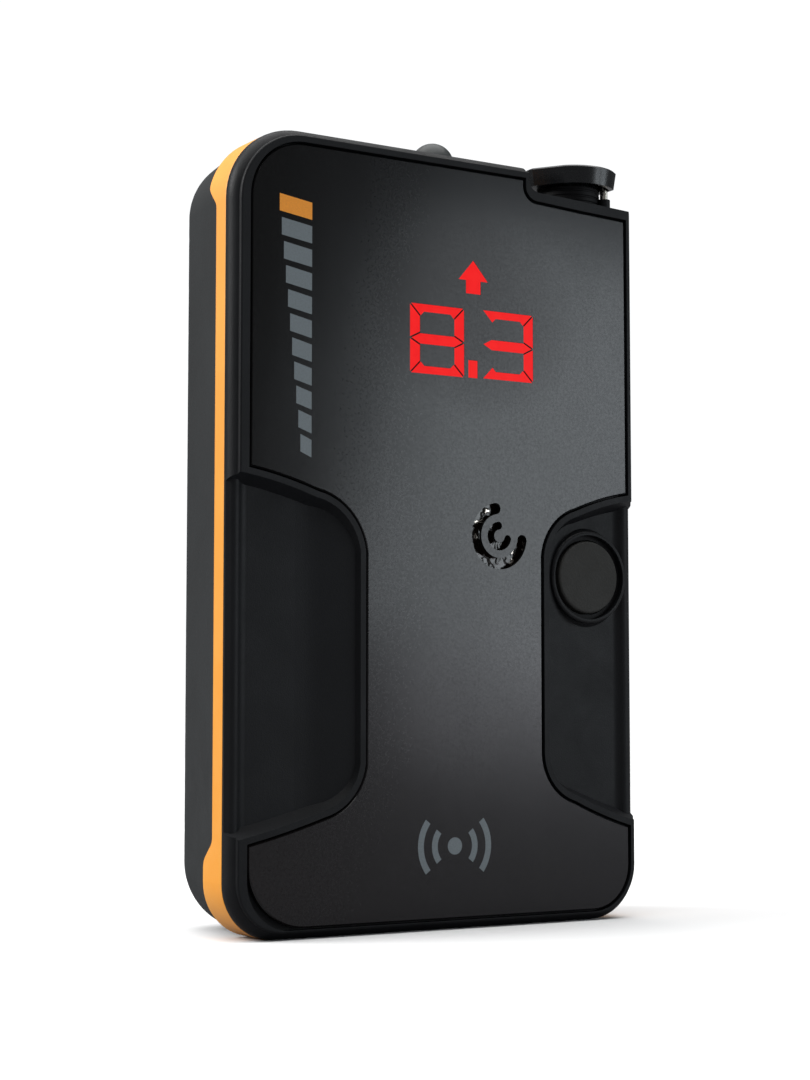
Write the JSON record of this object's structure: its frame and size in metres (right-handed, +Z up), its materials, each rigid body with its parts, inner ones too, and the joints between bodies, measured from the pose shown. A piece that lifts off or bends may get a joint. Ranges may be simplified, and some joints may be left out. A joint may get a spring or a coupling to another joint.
{
  "type": "avalanche transceiver",
  "caption": "Handheld avalanche search transceiver: two-shell case with gloss front plate, lit distance digits, top selector, option key and rear battery door.",
  "frame": {"origin": "middle of the flat underside, in the middle of the thickness", "axes": "+Z up the long way towards the selector, +X to the right seen from the front, the front face looks towards -Y"},
  "size_m": [0.071, 0.0266, 0.1173],
  "materials": {
    "front_shell": "fine matt texture",
    "face_plate": "high gloss",
    "bumper": "satin",
    "rear_shell": "matt",
    "battery_door": "matt",
    "seal_rubber": "matt",
    "label": "satin",
    "lit_red": "glowing",
    "display_body": "matt",
    "screw_steel": "satin",
    "brass_insert": "satin",
    "pin_steel": "polished",
    "cell_jacket": "satin",
    "spring_steel": "satin",
    "button_plastic": "matt",
    "switch_body": "satin",
    "knob_plastic": "satin",
    "bushing_plastic": "satin",
    "magnet": "satin",
    "smoke_lens": "gloss, smoked",
    "lamp_lens": "gloss",
    "membrane": "gloss",
    "speaker_plastic": "matt",
    "cone_film": "satin",
    "board": "gloss",
    "shield_metal": "satin",
    "chip_black": "matt",
    "ferrite": "matt",
    "copper": "enamelled wire"
  },
  "bodies": {
    "housing": {"front_shell": "front_shell", "face_plate": "face_plate", "bumper_band": "bumper", "bumper_band_tip": "bumper", "rear_shell": "rear_shell", "main_seal": "seal_rubber", "battery_seal": "seal_rubber", "button_gasket": "seal_rubber", "selector_wiper": "seal_rubber", "rear_label": "label", "tens_light_bars": "lit_red", "units_light_bars": "lit_red", "decimal_light_bar": "lit_red", "direction_arrow_light": "lit_red", "display_module": "display_body", "door_screw_insert": "brass_insert", "housing_screws": "screw_steel", "stop_pin": "pin_steel", "cells": "cell_jacket", "cell_springs": "spring_steel", "cell_contact_plates": "spring_steel", "button_spring": "spring_steel", "detent_spring": "spring_steel", "button_switch": "switch_body", "selector_bushing": "bushing_plastic", "light_pipe": "smoke_lens", "status_lamp": "lamp_lens", "speaker_membrane": "membrane", "speaker_frame": "speaker_plastic", "speaker_magnet": "magnet", "speaker_cone": "cone_film", "main_board": "board", "radio_shield": "shield_metal", "board_chips": "chip_black", "board_capacitors": "shield_metal", "tall_ferrite": "ferrite", "wide_ferrite": "ferrite", "short_ferrite": "ferrite", "tall_winding": "copper", "wide_winding": "copper", "short_winding": "copper", "antenna_saddles": "bushing_plastic"},
    "selector": {"selector_knob": "knob_plastic", "selector_o_ring": "seal_rubber", "detent_wheel": "bushing_plastic", "selector_magnet": "magnet"},
    "option_key": {"option_button": "button_plastic"},
    "door": {"battery_door": "battery_door"},
    "coin_screw": {"door_screw": "screw_steel"}
  },
  "joints": [
    {"name": "selector_turn", "type": "hinge", "parent": "housing", "child": "selector", "pos_m": [0.028, -0.00575, 0.112], "axis": [0, 0, 1], "range_deg": [0, 75]},
    {"name": "option_press", "type": "slide", "parent": "housing", "child": "option_key", "axis": [0, 1, 0], "range_m": [0, 0.0009], "stiffness_N_per_m": 1500, "springref_m": -0.0006, "deforming": ["button_spring"]},
    {"name": "door_lift", "type": "slide", "parent": "housing", "child": "door", "axis": [0, 1, 0], "range_m": [0, 0.03]},
    {"name": "coin_screw_turn", "type": "hinge", "parent": "door", "child": "coin_screw", "pos_m": [0, 0.0127, 0.0695], "axis": [0, 1, 0], "range_deg": [0, 1080]}
  ]
}
